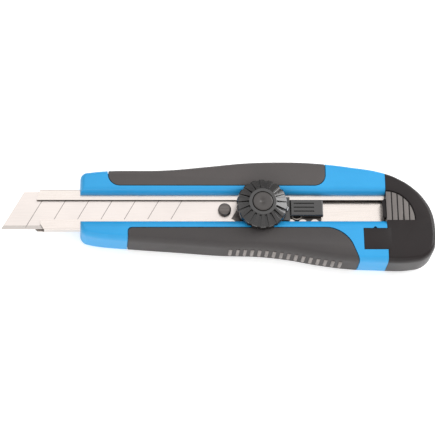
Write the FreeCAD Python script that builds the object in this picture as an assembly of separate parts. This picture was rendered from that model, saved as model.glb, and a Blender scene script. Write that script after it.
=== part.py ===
import FreeCAD, Part
import math
import os

# Snap-off utility knife for 18 mm blades, with a dial lock and spare blades in the handle.
# The knife lies on the back of its handle. X runs from the blade's tip to the rear cap, the cutting
# edge faces -Y, and the dial is on top (+Z). The origin is under the middle of the whole knife.
# All sizes are in millimetres.

V = FreeCAD.Vector

# ---- snap-off blade ----
BLADE_WIDTH = 18.0
BLADE_THICK = 0.5
BLADE_TIP_TO_HOLE = 102.4
BLADE_TAIL = 5.4            # from the hole's centre to the slanted tail, along the middle of the blade
BLADE_OVERALL = 110.0
BLADE_HOLE_R = 3.0
SEGMENT_PITCH = 10.7
SCORE_COUNT = 7
SNAP_ANGLE = 60.0
SCORE_WIDTH = 0.25
SCORE_DEPTH = 0.12
BEVEL_WIDTH = 1.7
BEVEL_OVER = 0.1            # the bevel's cut runs this far past the blade
EDGE_LAND = 0.06            # flat left at the very edge, so that the bevels close
SPARE_BLADES = 3

# ---- lengths along the knife ----
BLADE_EXPOSED = 17.8        # tip to the mouth of the channel, as set
CHANNEL_REACH = 18.3        # mouth of the channel to the nose of the handle
HANDLE_LENGTH = 140.6       # nose to the joint with the rear cap
CAP_LENGTH = 22.8

# ---- handle ----
HANDLE_HEIGHT = 48.7
HANDLE_THICK = 18.0
EDGE_R = 4.0                # rounding of the front and back rims
NOSE_R = 3.4                # rounding of the nose, seen from the front
WALL = 2.0
GRIP_THICK = 1.6
# (share of the handle's length, drop from the highest line as a share of the room above the channel),
# and the same up from the lowest line, in the room below the channel
TOP_LINE = [(0.0, 0.437), (0.08, 0.352), (0.28, 0.313), (0.42, 0.172), (0.54, 0.039), (0.65, 0.0),
            (0.76, 0.031), (0.88, 0.172)]
BOTTOM_LINE = [(0.0, 0.816), (0.05, 0.724), (0.16, 0.632), (0.32, 0.528), (0.46, 0.436), (0.59, 0.399),
               (0.68, 0.307), (0.78, 0.147), (0.88, 0.034), (0.96, 0.0)]
JOINT_DROP = 0.414          # top of the joint, as a share of the room above the channel
CAP_SHOULDER = 12.9         # the cap's round starts this far ahead of the joint
CAP_END_DROP = 0.655        # highest line to the rearmost point, as a share of the height
CAP_HEEL_R = 11.0

# ---- blade channel, a folded steel sheet ----
CHANNEL_Y = 1.75            # centre line of the channel
SHEET = 0.6
SHEET_OVER = 0.2            # a cut through the sheet runs this far past it
CHANNEL_INSIDE_DEPTH = 2.2
BACK_CORNER = 4.6           # cut corners of the channel's back, at its front end
BLADE_PLAY = 0.2            # on each side of the blade
SLOT_WIDTH = 9.4
LIP_FACE_BELOW_FRONT = 4.5  # channel's front face, below the front of the handle
BACK_REACH = 5.5            # how far the back of the channel stands ahead of its lips
LIP_SLANT = 1.7
LIP_CHAMFER_X = 1.8
LIP_CHAMFER_Y = 2.9
WAVE_PITCH = 5.5
WAVE_DEPTH = 1.2
WAVES_BEFORE_NOTCH = 14     # notches ahead of the one that holds the detent
CHANNEL_FIT = 0.06          # gap between the channel and the handle
WINDOW_BELOW = 6.2          # the handle is open over the slot, this far below its centre line
WINDOW_ABOVE = 7.1          # and this far above it
BAND_HALF = 10.1            # outer edge of the sloping bands beside the window
BAND_RISE = 3.7             # height that the bands climb

# ---- slider ----
PIN_R = 2.9
PIN_EDGE_R = 0.5
PIN_PROUD = 2.2             # pin above the blade
CARRIER_PLATE = 0.9
RUNNING_GAP = 0.1
CARRIER_SIDE_GAP = 0.2
CARRIER_SHORT = 0.6         # carrier ends this far ahead of the block's rear end
CARRIER_AHEAD = 6.4         # carrier ahead of the pin
DIAL_FROM_PIN = 16.7        # dial's axis behind the pin
BLOCK_AHEAD = 10.0          # slider block ahead of the dial's axis
BLOCK_BEHIND = 28.5         # slider block behind the dial's axis
THUMB_START = 13.3          # thumb rest behind the dial's axis
THUMB_HEIGHT = 3.0
THUMB_HALF = 3.8
THUMB_EDGE_R = 0.6
GROOVE_FROM_FRONT = 1.6     # smooth ends of the thumb rest, ahead of its grooves and behind them
GROOVE_FROM_REAR = 4.2
BASE_THICK = 1.3
BASE_HALF = 5.6
KEEL_GAP = 0.2
THUMB_GROOVES = 3
THUMB_GROOVE = 0.7
BOSS_R = 6.0
RIVET_BEHIND = 10.9         # rivet behind the dial's axis
RIVET_R = 1.2
RIVET_HEAD_R = 1.9
RIVET_HEAD = 0.8

# ---- dial lock ----
STUD_R = 2.0
STUD_CLEARANCE = 0.2
THREAD_FIT = 0.05
CLAMP_LENGTH = 8.0
CLAMP_HALF = 6.8
CLAMP_THICK = 0.8
CLAMP_GAP = 0.05
WASHER_R = 5.6
WASHER_THICK = 0.5
DIAL_R = 11.8
DIAL_LIFT = 0.4             # under the dial's rim, above the front of the handle
DIAL_RIM = 4.2
DIAL_CROWN = 2.4            # rim's top edge to the ring around the hub
HUB_RING_R = 6.2
HUB_R = 4.5
HUB_CAP_THICK = 1.4
HUB_CAP_PROUD = 0.5
DIAL_FOOT = 1.0             # bevel around the dial's underside
RIM_LEAN = 0.5
RIM_BEVEL = 0.8
RING_BEVEL = 0.8
RING_BEVEL_DROP = 0.4
HUB_EDGE_R = 0.3
DIMPLE_BALL_R = 1.6         # the hub's dimple is cut by a ball
DIMPLE_BALL_ABOVE = 1.4     # ball's centre above the hub
DIAL_LOBES = 18
LOBE_NOTCH_R = 0.9
NUT_SIDES = 6
NUT_R = 4.0
NUT_HEIGHT = 4.6
FIT = 0.03                  # pressed pieces that only have to touch

# ---- detent spring ----
DETENT_BEHIND = 16.5        # nose of the spring behind the dial's axis
SPRING_THICK = 0.35
SPRING_WIDE = 1.3
SPRING_HALF = 6.5
NOSE_RISE = 1.5             # round nose, from its end to its shoulders
SHOULDER_SHORT = 0.3
SPRING_END_ROOM = 0.3
NOSE_DIP = 0.45             # nose below the crests of the waves

# ---- rear cap ----
TONGUE_LENGTH = 10.9
TONGUE_BELOW_BAND = 0.5
TONGUE_FROM_EDGE = 5.5      # tongue above the handle's lowest line
TONGUE_THICK = 2.4
TONGUE_GAP = 0.15
CATCH_R = 0.8
SPIGOT_LENGTH = 1.4
SPIGOT_GAP = 0.25
RIB_COUNT = 5
RIB_GROOVE = 0.6
PANEL_HEIGHT = 14.3
PANEL_BELOW = 6.6           # foot of the ribs, below the channel's centre line
PANEL_LENGTH = 13.3

# ---- blade magazine ----
TRAY_WALL = 1.0
TRAY_SIDE_PLAY = 0.3
TRAY_IN_CAP = 9.0           # drawer reaches this far into the cap
TRAY_BLADE_PLAY = 1.0
DRAWER_FROM_BACK = 2.2      # drawer's space starts this far above the back of the handle
DRAWER_DEPTH = 6.0
SPARE_GAP = 0.05
CLIP_THICK = 0.4
CLIP_HALF = 4.0
CLIP_RISE = 1.2
FINGER_R = 5.6              # notch in the drawer's floor, to push the blades out
TRAY_TOP_GAP = 0.4

# ---- grips ----
UPPER_GRIP_FROM_NOSE = 12.6
UPPER_GRIP_TO_JOINT = 27.4
UPPER_GRIP_CORNER_R = 5.5
LOWER_GRIP_FROM_NOSE = 21.4
LOWER_GRIP_TO_JOINT = 19.0
LOWER_GRIP_LAP = 0.2        # lower grip over the edge of the band
LOWER_GRIP_SLANT = 6.2
LOWER_GRIP_FRONT_R = 2.0
LOWER_GRIP_REAR_R = 9.0
RIDGE_COUNT = 16
RIDGE_PITCH = 3.36
RIDGE_FROM_JOINT = 21.5     # last ridge, ahead of the joint
RIDGE_R = 0.9
RIDGE_SINK = 0.3            # a ridge's centre, above the underside
RIDGE_MARGIN = 5.0          # ridges stop this far from the front and the back

# ---- places worked out from the sizes above ----
X_TIP = -(BLADE_EXPOSED + CHANNEL_REACH + HANDLE_LENGTH + CAP_LENGTH) / 2
X_MOUTH = X_TIP + BLADE_EXPOSED
X_NOSE = X_MOUTH + CHANNEL_REACH
X_JOINT = X_NOSE + HANDLE_LENGTH
X_END = X_JOINT + CAP_LENGTH
Y_TOP = HANDLE_HEIGHT / 2
Y_BOTTOM = -HANDLE_HEIGHT / 2
FAR = 2 * HANDLE_HEIGHT     # reaches past the handle in any direction
OVER = 1.0                  # a cut runs this far past the face that it opens
TOUCH = 0.01                # places closer than this are the same
PARALLEL = 0.99             # cosine above which a direction counts as along an axis

CHANNEL_INSIDE_HALF = BLADE_WIDTH / 2 + BLADE_PLAY
CHANNEL_HALF = CHANNEL_INSIDE_HALF + SHEET
SLOT_HALF = SLOT_WIDTH / 2
ROOM_ABOVE = Y_TOP - CHANNEL_Y - CHANNEL_HALF
ROOM_BELOW = CHANNEL_Y - CHANNEL_HALF - Y_BOTTOM
Y_LOWER_GRIP = CHANNEL_Y - BAND_HALF + LOWER_GRIP_LAP
Y_TONGUE = CHANNEL_Y - BAND_HALF - TONGUE_BELOW_BAND
Y_TONGUE_LOW = Y_BOTTOM + TONGUE_FROM_EDGE
Y_PANEL = CHANNEL_Y - PANEL_BELOW
Z_LIP_FRONT = HANDLE_THICK - LIP_FACE_BELOW_FRONT
Z_LIP_UNDER = Z_LIP_FRONT - SHEET
Z_FLOOR = Z_LIP_UNDER - CHANNEL_INSIDE_DEPTH
Z_CHANNEL_BACK = Z_FLOOR - SHEET
Z_PLATE = Z_FLOOR + RUNNING_GAP
Z_PLATE_TOP = Z_PLATE + CARRIER_PLATE
Z_BLADE = Z_PLATE_TOP + RUNNING_GAP
Z_BLADE_TOP = Z_BLADE + BLADE_THICK
Z_CARRIER_TOP = Z_LIP_UNDER - RUNNING_GAP

X_PIN = X_TIP + BLADE_TIP_TO_HOLE
X_DIAL = X_PIN + DIAL_FROM_PIN
X_DETENT = X_DIAL + DETENT_BEHIND
SLANT = 1 / math.tan(math.radians(SNAP_ANGLE))

Z_BASE = Z_LIP_FRONT + RUNNING_GAP
Z_BASE_TOP = Z_BASE + BASE_THICK
Z_DIAL = HANDLE_THICK + DIAL_LIFT
Z_WASHER = Z_DIAL - WASHER_THICK - RUNNING_GAP
Z_RIM_TOP = Z_DIAL + DIAL_RIM
Z_RING_TOP = Z_RIM_TOP + DIAL_CROWN
Z_HUB_CAP = Z_RING_TOP + HUB_CAP_PROUD - HUB_CAP_THICK
Z_STUD_TOP = Z_HUB_CAP - 2 * RUNNING_GAP

Z_DRAWER = DRAWER_FROM_BACK
Z_DRAWER_TOP = DRAWER_FROM_BACK + DRAWER_DEPTH
TRAY_INSIDE_HALF = BLADE_WIDTH / 2 + TRAY_SIDE_PLAY
TRAY_HALF = TRAY_INSIDE_HALF + TRAY_WALL
DRAWER_HALF = TRAY_HALF + TRAY_SIDE_PLAY
X_TRAY = X_JOINT - BLADE_OVERALL - 2 * TRAY_BLADE_PLAY - TRAY_WALL


# ---- shape helpers ----
def block(x0, x1, y0, y1, z0, z1):
    return Part.makeBox(x1 - x0, y1 - y0, z1 - z0, V(x0, y0, z0))


def disc(x, y, radius, z0, z1):
    return Part.makeCylinder(radius, z1 - z0, V(x, y, z0))


def closed_face(points):
    return Part.Face(Part.makePolygon(points + [points[0]]))


def plate(corners, z0, z1):
    """A flat plate with corners given as (x, y)."""
    return closed_face([V(x, y, z0) for x, y in corners]).extrude(V(0, 0, z1 - z0))


def bar(corners, x0, x1):
    """A bar along X with corners given as (y, z)."""
    return closed_face([V(x0, y, z) for y, z in corners]).extrude(V(x1 - x0, 0, 0))


def round_upright_edges(solid, x, y, radius):
    """Rounds the edges along Z that stand at (x, y)."""
    found = [e for e in solid.Edges
             if all(abs(v.X - x) < TOUCH and abs(v.Y - y) < TOUCH for v in e.Vertexes) and e.Length > OVER]
    return solid.makeFillet(radius, found) if found else solid


def save(name, shape):
    solids = shape.Solids
    whole = solids[0] if len(solids) == 1 else Part.makeCompound(solids)
    whole.exportStep(f"parts/{name}.step")


# ---- outline of the handle and cap ----
def stations(line, edge, room):
    """Points of the top or bottom line. Each is dropped from its edge by a share of the room there."""
    return [V(X_NOSE + along * HANDLE_LENGTH, edge - share * room, 0) for along, share in line]


def cap_points(inset):
    """The cap's round from the joint to its rearmost point, a stretch of an ellipse."""
    length = CAP_SHOULDER + CAP_LENGTH
    y_end = Y_TOP - CAP_END_DROP * HANDLE_HEIGHT
    height = (Y_TOP - JOINT_DROP * ROOM_ABOVE - y_end) / math.sqrt(1 - (CAP_SHOULDER / length) ** 2) - inset
    length -= inset
    x_middle = X_JOINT - CAP_SHOULDER
    first = math.acos(CAP_SHOULDER / length)
    steps = 5
    angles = [first * (1 - step / steps) for step in range(steps + 1)]
    return [V(x_middle + length * math.cos(a), y_end + height * math.sin(a), 0) for a in angles]


def outline(inset):
    """Outline of the handle and cap, taken in by inset on every side."""
    top = [point - V(0, inset, 0) for point in stations(TOP_LINE, Y_TOP, ROOM_ABOVE)] + cap_points(inset)
    bottom = [point + V(0, inset, 0) for point in stations(BOTTOM_LINE, Y_BOTTOM, -ROOM_BELOW)]
    top[0].x += inset
    bottom[0].x += inset
    radius = CAP_HEEL_R - inset
    heel = V(X_END - CAP_HEEL_R, Y_BOTTOM + inset, 0)
    heel_top = V(X_END - inset, Y_BOTTOM + CAP_HEEL_R, 0)
    heel_middle = V(heel.x + radius * math.sqrt(0.5), heel_top.y - radius * math.sqrt(0.5), 0)
    upper = Part.BSplineCurve()
    upper.interpolate(Points=top)
    lower = Part.BSplineCurve()
    lower.interpolate(Points=bottom + [heel])
    edges = [
        Part.LineSegment(bottom[0], top[0]).toShape(),
        upper.toShape(),
        Part.LineSegment(top[-1], heel_top).toShape(),
        Part.Arc(heel_top, heel_middle, heel).toShape(),
        lower.toShape(),
    ]
    return Part.Wire(Part.__sortEdges__(edges))


def envelope():
    """Handle and cap as one rounded solid."""
    solid = Part.Face(outline(0)).extrude(V(0, 0, HANDLE_THICK))
    nose = [e for e in solid.Edges
            if all(abs(v.X - X_NOSE) < TOUCH for v in e.Vertexes)
            and abs(e.tangentAt(e.FirstParameter).z) > PARALLEL]
    solid = solid.makeFillet(NOSE_R, nose)
    rims = [e for e in solid.Edges
            if any(all(abs(v.Z - z) < TOUCH for v in e.Vertexes) for z in (0, HANDLE_THICK))]
    return solid.makeFillet(EDGE_R, rims)


def core(inset):
    """The straight-sided core that lies inset below the surface."""
    solid = Part.Face(outline(inset)).extrude(V(0, 0, HANDLE_THICK - 2 * inset))
    solid.translate(V(0, 0, inset))
    return solid


# ---- regions of the handle ----
def window():
    """What is cut away over the slot: straight sides, then bands that climb to the front of the handle."""
    z_step = HANDLE_THICK - BAND_RISE
    climb = 1 + OVER / BAND_RISE
    z_top = HANDLE_THICK + OVER
    low = CHANNEL_Y - WINDOW_BELOW
    high = CHANNEL_Y + WINDOW_ABOVE
    profile = [(low, Z_LIP_UNDER), (high, Z_LIP_UNDER), (high, z_step),
               (high + climb * (BAND_HALF - WINDOW_ABOVE), z_top), (low - climb * (BAND_HALF - WINDOW_BELOW), z_top),
               (low, z_step)]
    return bar(profile, X_MOUTH, X_JOINT)


def tunnel():
    half = CHANNEL_HALF + CHANNEL_FIT
    return block(X_MOUTH, X_JOINT, CHANNEL_Y - half, CHANNEL_Y + half,
                 Z_CHANNEL_BACK - CHANNEL_FIT, Z_LIP_FRONT + CHANNEL_FIT)


def drawer_space():
    return block(X_TRAY - TRAY_BLADE_PLAY, X_JOINT, CHANNEL_Y - DRAWER_HALF, CHANNEL_Y + DRAWER_HALF,
                 Z_DRAWER, Z_DRAWER_TOP)


def upper_grip_region():
    x0 = X_NOSE + UPPER_GRIP_FROM_NOSE
    x1 = X_JOINT - UPPER_GRIP_TO_JOINT
    y0 = CHANNEL_Y + BAND_HALF
    region = plate([(x0, y0), (x1, y0), (x1, FAR), (x0, FAR)], -OVER, HANDLE_THICK + OVER)
    region = round_upright_edges(region, x0, y0, UPPER_GRIP_CORNER_R)
    return round_upright_edges(region, x1, y0, UPPER_GRIP_CORNER_R)


def lower_grip_region():
    x0 = X_NOSE + LOWER_GRIP_FROM_NOSE
    x1 = X_JOINT - LOWER_GRIP_TO_JOINT
    slant = LOWER_GRIP_SLANT * (FAR + Y_LOWER_GRIP) / (Y_LOWER_GRIP - Y_BOTTOM)
    region = plate([(x0, Y_LOWER_GRIP), (x0, -FAR), (x1 + slant, -FAR), (x1, Y_LOWER_GRIP)],
                   -OVER, HANDLE_THICK + OVER)
    region = round_upright_edges(region, x0, Y_LOWER_GRIP, LOWER_GRIP_FRONT_R)
    return round_upright_edges(region, x1, Y_LOWER_GRIP, LOWER_GRIP_REAR_R)


def tongue_space(gap):
    """Where the cap's tongue lies in the front of the handle, with a gap all round it."""
    return block(X_JOINT - TONGUE_LENGTH - gap, X_JOINT + OVER, Y_TONGUE_LOW - gap, Y_TONGUE + gap,
                 HANDLE_THICK - TONGUE_THICK - gap, HANDLE_THICK + OVER)


# ---- handle pieces ----
def handle_parts():
    outer = envelope()
    skin = outer.cut(core(GRIP_THICK))
    upper = skin.common(upper_grip_region())
    lower = skin.common(lower_grip_region())
    catch = disc(X_JOINT - TONGUE_LENGTH / 2, Y_TONGUE + TONGUE_GAP, CATCH_R,
                 HANDLE_THICK - TONGUE_THICK, HANDLE_THICK + OVER)
    behind = block(X_JOINT, X_END + FAR, -FAR, FAR, -OVER, HANDLE_THICK + OVER)
    body = outer.cut([upper, lower, window(), tunnel(), drawer_space(), tongue_space(TONGUE_GAP), catch, behind])
    lower = lower.fuse(ridges(outer)).removeSplitter()
    return outer, body, upper.cut(window()), lower.cut(window())


def underside(x):
    """Lowest point of the handle's outline at x."""
    cut = Part.makeLine(V(x, -FAR, 0), V(x, 0, 0))
    return outline(0).distToShape(cut)[1][0][0].y


def ridges(outer):
    """Round ridges across the underside of the lower grip, under the fingers."""
    bars = []
    for i in range(RIDGE_COUNT):
        x = X_JOINT - RIDGE_FROM_JOINT - i * RIDGE_PITCH
        bars.append(disc(x, underside(x) + RIDGE_SINK, RIDGE_R, RIDGE_MARGIN, HANDLE_THICK - RIDGE_MARGIN))
    proud = bars[0].fuse(bars[1:])
    return proud.cut(core(GRIP_THICK / 2))


# ---- blade channel ----
def wave_points():
    """Slot's lower edge from the rear to the first notch, as arcs that alternate between crest and notch."""
    quarter = WAVE_PITCH / 4
    crest_y = CHANNEL_Y - SLOT_HALF
    middle_y = crest_y - WAVE_DEPTH / 2
    first = X_DETENT - WAVES_BEFORE_NOTCH * WAVE_PITCH
    count = int((X_JOINT - first) / WAVE_PITCH) + 1
    arcs = []
    for i in range(count):
        x = first + i * WAVE_PITCH
        arcs.append(((x - quarter, middle_y), (x, crest_y - WAVE_DEPTH), (x + quarter, middle_y)))
        if i < count - 1:
            arcs.append(((x + quarter, middle_y), (x + 2 * quarter, crest_y), (x + 3 * quarter, middle_y)))
    return arcs


def slot_tool():
    arcs = wave_points()
    x0 = X_MOUTH - BACK_REACH - OVER
    x1 = arcs[-1][2][0]
    top = CHANNEL_Y + SLOT_HALF
    bottom = CHANNEL_Y - SLOT_HALF
    z = Z_LIP_UNDER - SHEET_OVER
    lead = arcs[0][0]
    corners = [(lead[0] - WAVE_PITCH / 4, bottom), (x0, bottom), (x0, top), (x1, top), arcs[-1][2]]
    edges = [Part.LineSegment(V(*lead, z), V(*corners[0], z)).toShape()]
    for a, b in zip(corners, corners[1:]):
        edges.append(Part.LineSegment(V(*a, z), V(*b, z)).toShape())
    for start, middle, end in arcs:
        edges.append(Part.Arc(V(*start, z), V(*middle, z), V(*end, z)).toShape())
    return Part.Face(Part.Wire(Part.__sortEdges__(edges))).extrude(V(0, 0, SHEET + 2 * SHEET_OVER))


def blade_channel():
    x_back = X_MOUTH - BACK_REACH
    top = CHANNEL_Y + CHANNEL_HALF
    bottom = CHANNEL_Y - CHANNEL_HALF
    x_rear = X_JOINT - CHANNEL_FIT
    sheet = block(x_back, x_rear, bottom, top, Z_CHANNEL_BACK, Z_LIP_FRONT)
    sheet = sheet.makeFillet(SHEET, [e for e in sheet.Edges if abs(e.tangentAt(e.FirstParameter).x) > PARALLEL])
    inside = block(x_back - OVER, x_rear + OVER, CHANNEL_Y - CHANNEL_INSIDE_HALF, CHANNEL_Y + CHANNEL_INSIDE_HALF,
                   Z_FLOOR, Z_LIP_UNDER)
    tail = block(x_rear - WAVE_PITCH, x_rear + OVER, CHANNEL_Y - SLOT_HALF - WAVE_DEPTH, CHANNEL_Y + SLOT_HALF,
                 Z_LIP_UNDER - SHEET_OVER, Z_LIP_FRONT + SHEET_OVER)
    y_slot = CHANNEL_Y - SLOT_HALF
    ahead = plate(
        [(x_back - OVER, bottom - OVER), (X_MOUTH + LIP_CHAMFER_X, bottom - OVER), (X_MOUTH + LIP_CHAMFER_X, bottom),
         (X_MOUTH, bottom + LIP_CHAMFER_Y), (X_MOUTH, y_slot), (X_MOUTH - LIP_SLANT, CHANNEL_Y + SLOT_HALF),
         (X_MOUTH, top), (X_MOUTH, top + OVER), (x_back - OVER, top + OVER)],
        Z_FLOOR, Z_LIP_FRONT + OVER)
    trims = [
        plate([(x_back - OVER, top + OVER), (x_back - OVER, top - BACK_CORNER), (x_back, top - BACK_CORNER),
               (x_back + BACK_CORNER, top), (x_back + BACK_CORNER, top + OVER)], 0, HANDLE_THICK),
        plate([(x_back - OVER, bottom - OVER), (x_back - OVER, bottom + BACK_CORNER), (x_back, bottom + BACK_CORNER),
               (x_back + BACK_CORNER, bottom), (x_back + BACK_CORNER, bottom - OVER)], 0, HANDLE_THICK),
    ]
    return sheet.cut([inside, slot_tool(), tail, ahead] + trims)


# ---- blade ----
def blade_at(x_tip, y, z):
    """A snap-off blade whose tip is at x_tip, centred on y, with its back face at z."""
    low = y - BLADE_WIDTH / 2
    high = y + BLADE_WIDTH / 2
    lean = BLADE_WIDTH * SLANT
    edge_length = BLADE_TIP_TO_HOLE + BLADE_TAIL - lean / 2
    x_end = x_tip + BLADE_OVERALL
    y_end = low + (BLADE_OVERALL - edge_length) / SLANT
    strip = plate([(x_tip, low), (x_tip + edge_length, low), (x_end, y_end), (x_end, high), (x_tip + lean, high)],
                  z, z + BLADE_THICK)
    half_bevel = (BLADE_THICK - EDGE_LAND) / 2
    outside = low - BEVEL_OVER
    inner = low + BEVEL_WIDTH
    back_bevel = [(outside, z - BEVEL_OVER), (outside, z + half_bevel), (low, z + half_bevel), (inner, z),
                  (inner, z - BEVEL_OVER)]
    front = z + BLADE_THICK
    front_bevel = [(outside, front + BEVEL_OVER), (outside, front - half_bevel), (low, front - half_bevel),
                   (inner, front), (inner, front + BEVEL_OVER)]
    x_far = x_tip + edge_length + lean + OVER
    cutters = [
        bar(back_bevel, x_tip - OVER, x_far),
        bar(front_bevel, x_tip - OVER, x_far),
        disc(x_tip + BLADE_TIP_TO_HOLE, y, BLADE_HOLE_R, z - OVER, z + OVER),
    ]
    half = SCORE_WIDTH / 2 / math.sin(math.radians(SNAP_ANGLE))
    for i in range(SCORE_COUNT):
        x = x_tip + (i + 1) * SEGMENT_PITCH
        cutters.append(plate([(x - half - SLANT, low - OVER), (x + half - SLANT, low - OVER),
                              (x + half + lean + SLANT, high + OVER), (x - half + lean + SLANT, high + OVER)],
                             z + BLADE_THICK - SCORE_DEPTH, z + BLADE_THICK + OVER))
    return strip.cut(cutters)


# ---- slider ----
def blade_carrier():
    half = CHANNEL_INSIDE_HALF - CARRIER_SIDE_GAP
    low = CHANNEL_Y - half
    high = CHANNEL_Y + half
    x_front = X_PIN - CARRIER_AHEAD
    x_rear = X_DIAL + BLOCK_BEHIND - CARRIER_SHORT
    tail = X_PIN + BLADE_TAIL + RUNNING_GAP
    lean = half * SLANT
    floor = block(x_front, x_rear, low, high, Z_PLATE, Z_PLATE_TOP)
    rear = plate([(tail - lean, low), (x_rear, low), (x_rear, high), (tail + lean, high)], Z_PLATE, Z_CARRIER_TOP)
    pin_top = Z_BLADE_TOP + PIN_PROUD
    pin = disc(X_PIN, CHANNEL_Y, PIN_R, Z_PLATE, pin_top)
    pin = pin.makeFillet(PIN_EDGE_R, [e for e in pin.Edges if e.BoundBox.ZMin > pin_top - TOUCH])
    clear = 2 * RUNNING_GAP
    pocket = block(X_DIAL - CLAMP_LENGTH / 2 - clear, X_DIAL + CLAMP_LENGTH / 2 + clear,
                   CHANNEL_Y - CLAMP_HALF - clear, CHANNEL_Y + CLAMP_HALF + clear, Z_PLATE - OVER, Z_CARRIER_TOP + OVER)
    rivet = disc(X_DIAL + RIVET_BEHIND, CHANNEL_Y, RIVET_R + FIT, Z_PLATE - OVER, Z_CARRIER_TOP + OVER)
    return floor.fuse([rear, pin]).removeSplitter().cut([pocket, rivet])


def slider_block():
    x0 = X_DIAL - BLOCK_AHEAD
    x1 = X_DIAL + BLOCK_BEHIND
    x_thumb = X_DIAL + THUMB_START
    z_thumb = Z_BASE + THUMB_HEIGHT
    y_keel = CHANNEL_Y - SLOT_HALF + WAVE_DEPTH
    keel = block(x0, x1, y_keel, CHANNEL_Y + SLOT_HALF - KEEL_GAP, Z_CARRIER_TOP, Z_BASE)
    base = block(x0, x_thumb, CHANNEL_Y - BASE_HALF, CHANNEL_Y + BASE_HALF, Z_BASE, Z_BASE_TOP)
    thumb = block(x_thumb, x1, CHANNEL_Y - THUMB_HALF, CHANNEL_Y + THUMB_HALF, Z_BASE, z_thumb)
    thumb = thumb.makeFillet(THUMB_EDGE_R, [e for e in thumb.Edges if e.BoundBox.ZMin > z_thumb - TOUCH])
    boss = disc(X_DIAL, CHANNEL_Y, BOSS_R, Z_BASE, Z_WASHER)
    whole = base.fuse([keel, thumb, boss]).removeSplitter()
    pitch = 2 * THUMB_HALF / (THUMB_GROOVES + 1)
    foot_clear = CLAMP_LENGTH / 2 + 2 * RUNNING_GAP
    tools = [block(X_DIAL - foot_clear, X_DIAL + foot_clear, CHANNEL_Y - SLOT_HALF, CHANNEL_Y + SLOT_HALF,
                   Z_CARRIER_TOP - OVER, Z_LIP_UNDER + RUNNING_GAP),
             disc(X_DIAL, CHANNEL_Y, STUD_R + STUD_CLEARANCE, Z_CARRIER_TOP - OVER, Z_DIAL + OVER),
             disc(X_DIAL + RIVET_BEHIND, CHANNEL_Y, RIVET_R + FIT, Z_CARRIER_TOP - OVER, Z_DIAL),
             spring_space()]
    for i in range(THUMB_GROOVES):
        y = CHANNEL_Y - THUMB_HALF + (i + 1) * pitch
        tools.append(block(x_thumb + GROOVE_FROM_FRONT, x1 - GROOVE_FROM_REAR, y - THUMB_GROOVE / 2, y + THUMB_GROOVE / 2,
                           z_thumb - THUMB_GROOVE, z_thumb + OVER))
    return whole.cut(tools)


def spring_levels():
    low = Z_CARRIER_TOP + RUNNING_GAP
    return low, low + SPRING_WIDE


def spring_space():
    """Pocket along the block's lower side that the detent spring bends in."""
    low, high = spring_levels()
    half = SPRING_HALF + SPRING_END_ROOM
    return block(X_DETENT - half, X_DETENT + half, CHANNEL_Y - WINDOW_BELOW,
                 CHANNEL_Y - SLOT_HALF + 2 * WAVE_DEPTH, low - RUNNING_GAP - TOUCH, high + RUNNING_GAP)


def detent_spring():
    """A steel strip on edge: two straight arms and a round nose that drops into a notch of the channel."""
    low, high = spring_levels()
    y_arm = CHANNEL_Y - SLOT_HALF + 2 * WAVE_DEPTH - SPRING_THICK / 2
    y_nose = CHANNEL_Y - SLOT_HALF - NOSE_DIP + SPRING_THICK / 2
    half = SPRING_HALF
    shoulder = WAVE_PITCH / 2 - SHOULDER_SHORT
    points = [V(X_DETENT - half, y_arm, low), V(X_DETENT - shoulder, y_nose + NOSE_RISE, low), V(X_DETENT, y_nose, low),
              V(X_DETENT + shoulder, y_nose + NOSE_RISE, low), V(X_DETENT + half, y_arm, low)]
    path = Part.Wire([Part.LineSegment(points[0], points[1]).toShape(),
                      Part.Arc(points[1], points[2], points[3]).toShape(),
                      Part.LineSegment(points[3], points[4]).toShape()])
    strip = path.makeOffset2D(SPRING_THICK / 2, 0, True, True)
    other = path.makeOffset2D(-SPRING_THICK / 2, 0, True, True)
    return strip.extrude(V(0, 0, high - low)).fuse(other.extrude(V(0, 0, high - low))).removeSplitter()


def slider_rivet():
    x = X_DIAL + RIVET_BEHIND
    shank = disc(x, CHANNEL_Y, RIVET_R, Z_PLATE, Z_BASE_TOP)
    head = disc(x, CHANNEL_Y, RIVET_HEAD_R, Z_BASE_TOP, Z_BASE_TOP + RIVET_HEAD)
    head = head.makeFillet(RIVET_HEAD / 2, [e for e in head.Edges if e.BoundBox.ZMin > Z_BASE_TOP + RIVET_HEAD / 2])
    return shank.fuse(head).removeSplitter()


# ---- dial lock ----
def clamp_stud():
    top = Z_LIP_UNDER - CLAMP_GAP
    foot = block(X_DIAL - CLAMP_LENGTH / 2, X_DIAL + CLAMP_LENGTH / 2, CHANNEL_Y - CLAMP_HALF,
                 CHANNEL_Y + CLAMP_HALF, top - CLAMP_THICK, top)
    return foot.fuse(disc(X_DIAL, CHANNEL_Y, STUD_R, top - CLAMP_THICK, Z_STUD_TOP)).removeSplitter()


def thrust_washer():
    ring = disc(X_DIAL, CHANNEL_Y, WASHER_R, Z_WASHER, Z_WASHER + WASHER_THICK)
    return ring.cut(disc(X_DIAL, CHANNEL_Y, STUD_R + STUD_CLEARANCE, Z_WASHER - OVER, Z_DIAL + OVER))


def nut_corners(radius):
    corners = []
    for i in range(NUT_SIDES):
        angle = 2 * math.pi * i / NUT_SIDES
        corners.append((X_DIAL + radius * math.cos(angle), CHANNEL_Y + radius * math.sin(angle)))
    return corners


def dial_nut():
    nut = plate(nut_corners(NUT_R), Z_DIAL, Z_DIAL + NUT_HEIGHT)
    return nut.cut(disc(X_DIAL, CHANNEL_Y, STUD_R + THREAD_FIT, Z_DIAL - OVER, Z_DIAL + NUT_HEIGHT + OVER))


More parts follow.
